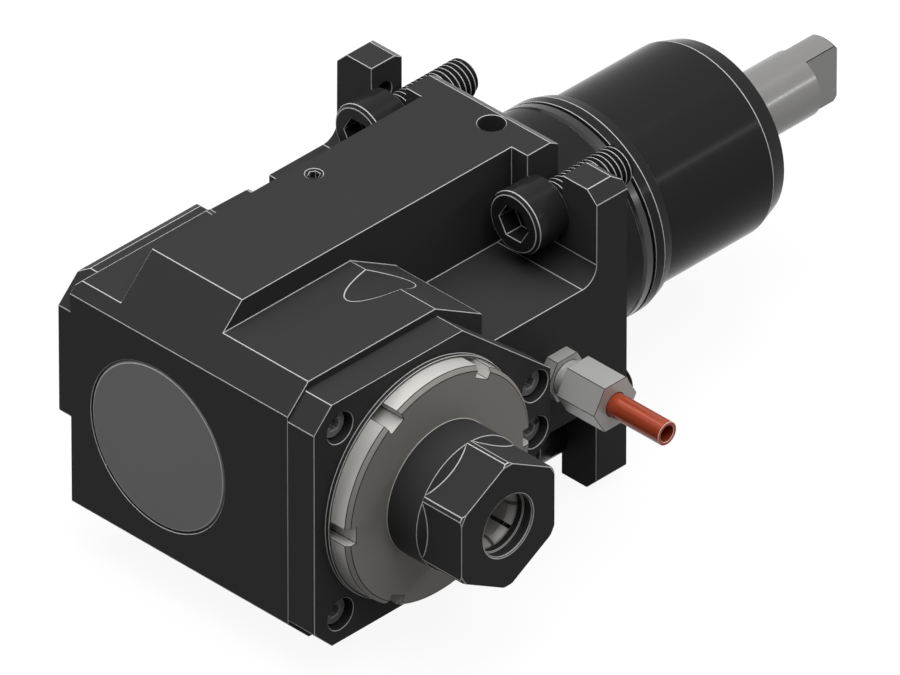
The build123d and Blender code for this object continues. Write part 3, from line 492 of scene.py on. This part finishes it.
def leave_stem_sharp(piece):
    """Leave the edges of the screws' buried stems unbroken."""
    for edge in piece.data.edges:
        if all(piece.data.vertices[i].co.x < stem_end for i in edge.vertices):
            edge.use_seam = False


def in_small_socket(centre, normal):
    """The worn hexagon socket of one of the plate's four screws."""
    return min(math.hypot(centre.y - y, abs(centre.z) - z)
               for y, z in plate_screw_places) < small_socket_radius


plate_screws = machined("bearing_flange_screws", "housing", screw_black,
                        worn_edge_and_painted_highlight, small_edge_break, reshape=leave_stem_sharp)
give_faces(plate_screws, cap_grey, in_small_socket)

# The rear cover is a milled steel plate over the spindle's rear bearing, black like the housing.
# Four cap screws of its own hold it.
machined("rear_cover", "housing", black_oxide, worn_edge_and_painted_highlight, edge_break)
machined("rear_cover_screws", "housing", screw_black, worn_edge_and_painted_highlight,
         small_edge_break)

# The grease hole in the roof is closed by a turned steel plug, black like the screws. It is
# screwed home by its hexagon socket.
machined("grease_plug", "housing", screw_black, worn_edge_and_painted_highlight, small_edge_break)

# The lock ring is turned from bare steel and slotted for a hook spanner. Its face is a warm
# dull grey and its edges show dark. Its rim and slots are painted much brighter than the face, a
# painted highlight on the faces that turn round the spindle's line.
ring_face = metal("ring_face", (0.335, 0.322, 0.30), dark_share=0.95, roughness=0.55,
                  marks=1200, patches=30, metallic=0.1, bump=0.1, specular=0.1)
bright_steel_and_painted_highlight = metal("bright_steel_and_painted_highlight", (0.70, 0.69, 0.66), dark_share=0.95, roughness=0.4,
                 marks=300, patches=30, metallic=0.15, specular=0.2)
dark_line = metal("dark_line", (0.03, 0.03, 0.029), dark_share=0.8, roughness=0.5,
                  marks=900, patches=60, specular=0.1)
ring_edge_break, rim_lean = 0.00013, 0.3
lock_ring = machined("spindle_lock_ring", "spindle", ring_face, dark_line,
                     ring_edge_break)
# Painted highlight: the faces that turn round the spindle's line, the rim and the slots, get the
# bright steel.
give_faces(lock_ring, bright_steel_and_painted_highlight, lambda centre, normal: abs(normal.x) < rim_lean)

# The spindle is turned from steel, hardened and ground. Its neck shows black between the lock
# ring and the nut.
ground_steel = metal("ground_steel", (0.30, 0.297, 0.29), dark_share=0.95, roughness=0.22,
                     marks=1600, patches=30, metallic=0.2, specular=0.4)
fine_edge_break, neck_radius, neck_start, neck_lean = 0.00008, 0.0125, 0.045, 0.5


def on_neck(centre, normal):
    """The spindle's outside between the lock ring and the nut."""
    return centre.x > neck_start and spindle_reach(centre) > neck_radius and (
        abs(normal.x) < neck_lean)


spindle = machined("spindle", "spindle", ground_steel, dark_line,
                   fine_edge_break)
give_faces(spindle, ground_black_and_painted_shade, on_neck)

# The collet is a slotted cone of bright spring steel in the spindle's taper. The nut presses it
# home, and its mouth shows in the nut.
machined("collet", "collet", bright_steel_and_painted_highlight, worn_edge_and_painted_highlight, fine_edge_break)

# The collet nut is turned from steel, milled to a hexagon and black oxidised. Its collar reaches
# the lock ring's face, where its chamfer takes the bright edge strip: partly wear, partly painted
# highlight.
collar_start, collar_end, collar_radius, collar_bore = 0.05662, 0.0660, 0.017005, 0.0152
relief_start, relief_end, relief_radius = 0.06605, 0.0683, 0.0145
least_lean, most_lean = 0.5, 0.9


def leave_relief_sharp(piece):
    """Leave the edges of the nut's relief unbroken, because the shoulder covers them."""
    hidden = [relief_start < vertex.co.x < relief_end
              and spindle_reach(vertex.co) > relief_radius for vertex in piece.data.vertices]
    for edge in piece.data.edges:
        if all(hidden[i] for i in edge.vertices):
            edge.use_seam = False


nut = machined("collet_nut", "collet_nut", black_oxide, worn_edge_and_painted_highlight, edge_break,
               reshape=leave_relief_sharp)
collar = turned_ring("nut_collar", (
    (collar_start, collar_bore), (collar_start, collar_radius + edge_break),
    (collar_start + edge_break, collar_radius),
    (collar_end - edge_break, collar_radius), (collar_end - edge_break, collar_bore)))
break_edges(collar, black_oxide, worn_edge_and_painted_highlight, 0.0)
give_faces(collar, worn_edge_and_painted_highlight, lambda centre, normal: (
    centre.x < collar_start + edge_break and least_lean < normal.x < most_lean))
join_to(nut, collar)

# Behind the hexagon the nut is turned to a cone, so that each flat ends in a curve and the six
# corners run on to the collar.
flat_distance, corner_radius = 0.01501, 0.01701
cone_start_radius, cone_end_radius, shoulder_bore = 0.01693, 0.0147, 0.0140
shoulder_start, cone_end, shoulder_end, tool_overrun = 0.06592, 0.0679, 0.0684, 0.001
curve_start, corner_start, corner_end = 0.06608, 0.06598, 0.06835
curve_reach, least_reach = 0.01699, 0.0141


def cut_with(piece, tool, operation):
    """Join, cut or keep the overlap of a piece with a tool's solid, and take the tool away."""
    step = piece.modifiers.new("tool", "BOOLEAN")
    step.operation = operation
    step.solver = "EXACT"
    step.object = tool
    bpy.ops.object.select_all(action="DESELECT")
    bpy.context.view_layer.objects.active = piece
    bpy.ops.object.modifier_apply(modifier=step.name)
    bpy.data.objects.remove(tool)


def turned_rod(name, start, end, start_radius, end_radius, sides=96):
    """A rod, cone or, with six sides, a hexagon bar along the spindle's line."""
    bpy.ops.mesh.primitive_cone_add(vertices=sides, radius1=start_radius, radius2=end_radius,
                                    depth=end - start)
    rod = bpy.context.object
    rod.name = name
    along_spindle = (Matrix.Rotation(math.pi / 2, 4, "X")
                     @ Matrix.Rotation(math.pi / 2, 4, "Y"))
    rod.data.transform(Matrix.Translation(((start + end) / 2, line_y, line_z)) @ along_spindle)
    return rod


def on_shoulder_edge(middle):
    """A corner edge, or a flat's curved end short of its tips."""
    reach = spindle_reach(middle)
    start = curve_start if reach < curve_reach else corner_start
    return start < middle.x < corner_end and reach > least_reach


hexagon_radius = flat_distance / math.cos(math.pi / 6)
shoulder = turned_rod("nut_shoulder", shoulder_start, shoulder_end, hexagon_radius,
                      hexagon_radius, sides=6)
tool_start, tool_end = shoulder_start - tool_overrun, shoulder_end + tool_overrun
cut_with(shoulder, turned_rod("corner_lathe", tool_start, tool_end, corner_radius,
                              corner_radius), "INTERSECT")
cut_with(shoulder, turned_rod("cone", shoulder_start + flush, cone_end, cone_start_radius,
                              cone_end_radius), "UNION")
cut_with(shoulder, turned_rod("bore", tool_start, tool_end, shoulder_bore, shoulder_bore),
         "DIFFERENCE")
mark_turns(shoulder, on_shoulder_edge)
break_edges(shoulder, black_oxide, worn_edge_and_painted_highlight, edge_break)
join_to(nut, shoulder)

# The input shaft is turned from steel and ground bare. Its flattened end is the tang that the
# turret drives.
shaft_edge_break = 0.00015
machined("input_shaft", "input_shaft", ground_steel, dark_line,
         shaft_edge_break)

# The clamp screws are M10 cap screws in the flange's open slots, black, with rolled threads
# that show past the flange. The head comes from its solid, and the thread is swept by its pitch.
screw_x, screw_z = 0.025, 0.030
head_cut, thread_start, screw_tip, tip_chamfer = -0.00975, -0.0098, 0.015, 0.0009
thread_pitch, crest_radius, root_radius = 0.0015, 0.0049, 0.00402
crest_width, root_width, bright_crest_reach = 0.00022, 0.00030, 0.00482
thread_sides, spare_turns, thread_smooth_angle = 28, 2, math.radians(20)


def cut_across(piece, y, keep_tip):
    """Cut a piece square across Y, close the cut, and keep the side towards its tip or head."""
    in_edit_mode(piece, action="SELECT")
    bpy.ops.mesh.bisect(plane_co=(0, y, 0), plane_no=(0, 1, 0), use_fill=True,
                        clear_inner=keep_tip, clear_outer=not keep_tip)
    bpy.ops.object.mode_set(mode="OBJECT")


bpy.ops.mesh.primitive_plane_add(size=0.001)
thread = bpy.context.object
thread.name = "clamp_thread"
in_edit_mode(thread, "VERT", "SELECT")
bpy.ops.mesh.merge(type="CENTER")
bpy.ops.transform.translate(value=(root_radius, thread_start - thread_pitch, 0))
flank_width = (thread_pitch - crest_width - root_width) / 2
thread_depth = crest_radius - root_radius
for step in ((thread_depth, flank_width), (0, crest_width), (-thread_depth, flank_width),
             (0, root_width)):
    bpy.ops.mesh.extrude_region_move(TRANSFORM_OT_translate={"value": (*step, 0)})
bpy.ops.object.mode_set(mode="OBJECT")
sweep = thread.modifiers.new("pitch", "SCREW")
sweep.axis = "Y"
sweep.steps = sweep.render_steps = thread_sides
sweep.screw_offset = thread_pitch
sweep.iterations = math.ceil((screw_tip - thread_start) / thread_pitch) + spare_turns
sweep.use_merge_vertices = True
bpy.ops.object.modifier_apply(modifier=sweep.name)
merge_corners(thread)
cut_across(thread, thread_start, True)
cut_across(thread, screw_tip, False)
in_edit_mode(thread, action="SELECT")
bpy.ops.mesh.normals_make_consistent(inside=False)
bpy.ops.object.mode_set(mode="OBJECT")
thread.data.materials.append(screw_black)
thread.data.materials.append(worn_edge_and_painted_highlight)
for vertex in thread.data.vertices:
    reach = math.hypot(vertex.co.x, vertex.co.z)
    limit = crest_radius - max(0.0, vertex.co.y - (screw_tip - tip_chamfer))
    if reach > limit:
        vertex.co.x *= limit / reach
        vertex.co.z *= limit / reach
# The crests take the bright edge strip: partly wear, partly painted highlight.
for face in thread.data.polygons:
    if math.hypot(face.center.x, face.center.z) > bright_crest_reach:
        face.material_index = 1
bpy.ops.object.shade_smooth_by_angle(angle=thread_smooth_angle)
for number in range(1, 5):
    node = f"clamp_screw_{number}"
    head = merged_copy(node, node + "_finished")
    cut_across(head, head_cut, False)
    break_edges(head, screw_black, worn_edge_and_painted_highlight, edge_break)
    stem = bpy.data.objects.new(node + "_thread", thread.data.copy())
    scene.collection.objects.link(stem)
    cad_corners = frame["nodes"][node].bound_box
    side_x = math.copysign(screw_x, sum(corner[0] for corner in cad_corners))
    side_z = math.copysign(screw_z, sum(corner[2] for corner in cad_corners))
    stem.data.transform(Matrix.Translation((side_x, 0, side_z)))
    join_to(head, stem)
    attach(head, node)
    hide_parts(node)
bpy.data.objects.remove(thread)

# The coolant fitting, its union nut and the ring that bites on the tube are zinc plated steel,
# turned from hexagon bar and screwed together.
plated = metal("plated", (0.50, 0.50, 0.49), dark_share=0.96, roughness=0.35,
               marks=1500, patches=40, metallic=0.15, specular=0.3)
fitting_edge_break = 0.00012
for node, body in (("coolant_fitting", "housing"), ("coolant_union_nut", "union_nut"),
                   ("coolant_cutting_ring", "coolant_tube")):
    machined(node, body, plated, dark_line, fitting_edge_break)

# The coolant tube is drawn copper, sawn off square. The union nut clamps it in the fitting, and
# the rim of its cut end is bright.
copper = metal("copper", (0.44, 0.066, 0.024), dark_share=0.94, roughness=0.22,
               marks=1500, patches=60, metallic=0.15, specular=0.3)
copper_line = metal("copper_line", (0.95, 0.68, 0.58), dark_share=0.9, roughness=0.4,
                    marks=900, patches=60, metallic=0.1, bump=0.05)
machined("coolant_tube", "coolant_tube", copper, copper_line, fitting_edge_break)

# The seals are matt black rubber. The inner pieces keep their plain shapes, which only an
# opened holder shows: ground bearing steel, and soft steel for rings, keys and clips.
seal_rubber = metal("seal_rubber", (0.022, 0.022, 0.022), dark_share=0.9, roughness=0.2,
                    marks=1200, patches=50)
bearing_steel = metal("bearing_steel", (0.62, 0.62, 0.61), dark_share=0.95, roughness=0.16,
                      marks=1500, patches=30, metallic=1.0, bump=0.05)
slots = {row["node"]: row["material_slot"] for row in frame["record"]["subparts"]}
plain_finishes = {
    "seal_rubber": seal_rubber, "bearing_steel": bearing_steel, "ground_steel": ground_steel,
    "screw_steel": screw_black}
for node, piece in frame["nodes"].items():
    if not piece.hide_render:
        piece.data.materials.clear()
        piece.data.materials.append(plain_finishes[slots[node]])
